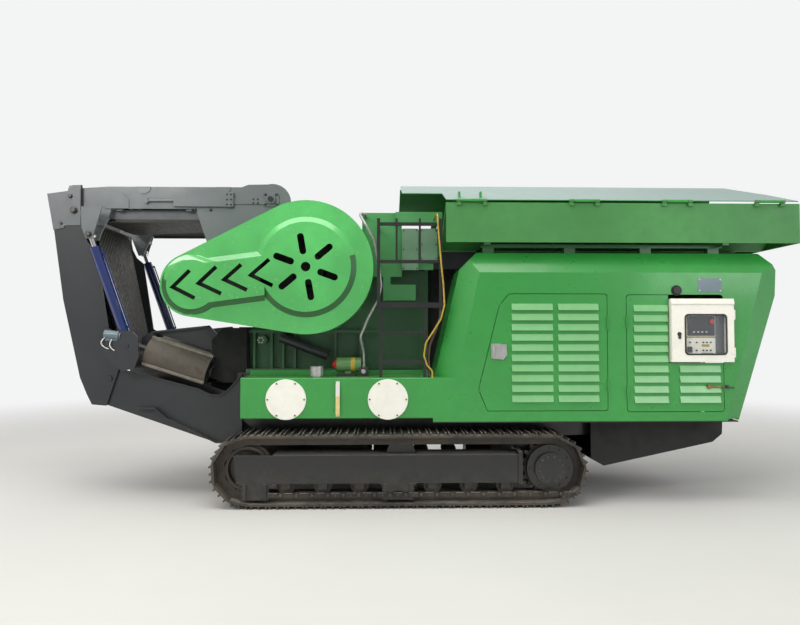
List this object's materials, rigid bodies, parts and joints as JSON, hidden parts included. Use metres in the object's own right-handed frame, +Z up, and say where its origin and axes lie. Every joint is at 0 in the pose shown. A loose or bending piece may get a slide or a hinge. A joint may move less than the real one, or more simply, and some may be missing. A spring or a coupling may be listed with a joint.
{
  "type": "mobile jaw crusher",
  "caption": "Tracked jaw crusher with feed hopper, louvred power unit, guarded drive, magnet belt and a discharge conveyor folded up for transport.",
  "frame": {"origin": "middle of the overall box, on the ground", "axes": "+X from the conveyor to the power unit, +Y to the far side, +Z up; the near side with the control cabinet is -Y"},
  "size_m": [7.408, 2.3, 3.2631],
  "materials": {
    "green_paint": "satin",
    "track_steel": "worn",
    "charcoal_paint": "satin",
    "wheel_steel": "machined rims",
    "jaw_steel": "worn",
    "white_paint": "satin",
    "pale_paint": "satin",
    "blue_paint": "gloss",
    "rod_chrome": "polished",
    "belt_rubber": "dusty",
    "panel_black": "matte",
    "window_glass": "clear",
    "hose_grey": "sleeved",
    "motor_paint": "satin"
  },
  "bodies": {
    "chassis": {"track_near": "track_steel", "track_far": "track_steel", "sprockets": "wheel_steel", "final_drives": "charcoal_paint", "track_wheels": "wheel_steel", "track_frames": "charcoal_paint", "chassis_frame": "charcoal_paint", "deck_plate": "charcoal_paint", "tail_belly": "charcoal_paint", "side_tanks": "green_paint", "tank_covers": "white_paint", "tank_fittings": "panel_black", "crusher_frame": "green_paint", "fixed_jaw": "jaw_steel", "swing_jaw": "jaw_steel", "setting_gear": "charcoal_paint", "bearing_housings": "green_paint", "drive_belt": "belt_rubber", "drive_motor": "motor_paint", "drive_guard": "green_paint", "flywheel_guard": "green_paint", "inlet_chute": "green_paint", "service_ladder": "charcoal_paint", "fines_chute": "green_paint", "grease_hose": "hose_grey", "ladder_cables": "belt_rubber", "valve_block": "motor_paint", "hood_near": "green_paint", "hood_far": "green_paint", "hood_bridge": "green_paint", "radiator_grille": "charcoal_paint", "control_cabinet": "pale_paint", "control_panel": "panel_black", "engine_block": "motor_paint", "feeder": "charcoal_paint", "hopper": "green_paint", "hopper_supports": "green_paint", "conveyor_lower": "charcoal_paint", "lower_belt": "belt_rubber", "magnet_belt": "belt_rubber", "magnet_frame": "charcoal_paint", "magnet_motor": "motor_paint"},
    "flywheel_set": {"flywheels": "wheel_steel"},
    "pulley": {"drive_pulley": "wheel_steel"},
    "conveyor_middle": {"conveyor_mid": "charcoal_paint", "mid_belt": "belt_rubber"},
    "conveyor_end": {"conveyor_head": "charcoal_paint", "head_belt": "belt_rubber", "belt_skirts": "charcoal_paint"},
    "cylinder_barrels": {"fold_barrels": "blue_paint"},
    "cylinder_rods": {"fold_rods": "rod_chrome"},
    "near_front_door": {"door_near_front": "green_paint"},
    "near_rear_door": {"door_near_rear": "green_paint", "door_near_low": "green_paint"},
    "far_front_door": {"door_far_front": "green_paint"},
    "far_rear_door": {"door_far_rear": "green_paint"},
    "control_door": {"cabinet_door": "pale_paint", "cabinet_window": "window_glass"},
    "near_wing": {"wing_near": "green_paint"},
    "far_wing": {"wing_far": "green_paint"}
  },
  "joints": [
    {"name": "flywheel_spin", "type": "hinge", "parent": "chassis", "child": "flywheel_set", "pos_m": [-1.056, 0, 2.261], "axis": [0, 1, 0], "continuous": true},
    {"name": "pulley_spin", "type": "hinge", "parent": "chassis", "child": "pulley", "pos_m": [-2.125, -0.78, 2.091], "axis": [0, 1, 0], "continuous": true},
    {"name": "middle_fold", "type": "hinge", "parent": "chassis", "child": "conveyor_middle", "pos_m": [-3.057, 0, 1.183], "axis": [0, -1, 0], "range_deg": [0, 59]},
    {"name": "end_fold", "type": "hinge", "parent": "conveyor_middle", "child": "conveyor_end", "pos_m": [-3.419, 0, 2.875], "axis": [0, -1, 0], "range_deg": [0, 102]},
    {"name": "barrel_swing", "type": "hinge", "parent": "conveyor_middle", "child": "cylinder_barrels", "pos_m": [-2.842, 0, 1.512], "axis": [0, -1, 0], "range_deg": [-7.5, 1]},
    {"name": "rod_slide", "type": "slide", "parent": "cylinder_barrels", "child": "cylinder_rods", "axis": [-0.3376, 0, 0.9413], "range_m": [0, 0.4625]},
    {"name": "near_front_door_hinge", "type": "hinge", "parent": "chassis", "child": "near_front_door", "pos_m": [1.818, -1.1, 1.43], "axis": [0, 0, 1], "range_deg": [0, 90]},
    {"name": "near_rear_door_hinge", "type": "hinge", "parent": "chassis", "child": "near_rear_door", "pos_m": [2.003, -1.1, 1.43], "axis": [0, 0, -1], "range_deg": [0, 90]},
    {"name": "far_front_door_hinge", "type": "hinge", "parent": "chassis", "child": "far_front_door", "pos_m": [1.818, 1.1, 1.43], "axis": [0, 0, -1], "range_deg": [0, 90]},
    {"name": "far_rear_door_hinge", "type": "hinge", "parent": "chassis", "child": "far_rear_door", "pos_m": [2.003, 1.1, 1.43], "axis": [0, 0, 1], "range_deg": [0, 90]},
    {"name": "control_door_hinge", "type": "hinge", "parent": "chassis", "child": "control_door", "pos_m": [3.026, -1.14, 1.63], "axis": [0, 0, 1], "range_deg": [0, 100]},
    {"name": "near_wing_hinge", "type": "hinge", "parent": "chassis", "child": "near_wing", "pos_m": [1.9, -1.125, 2.901], "axis": [1, 0, 0], "range_deg": [0, 101]},
    {"name": "far_wing_hinge", "type": "hinge", "parent": "chassis", "child": "far_wing", "pos_m": [1.9, 1.125, 2.901], "axis": [-1, 0, 0], "range_deg": [0, 101]}
  ],
  "couplings": [
    {"joint": "pulley_spin", "follows": "flywheel_spin", "ratio": 3.1802},
    {"joint": "barrel_swing", "follows": "end_fold", "ratio": -0.06863},
    {"joint": "rod_slide", "follows": "end_fold", "m_per_rad": 0.2592}
  ]
}
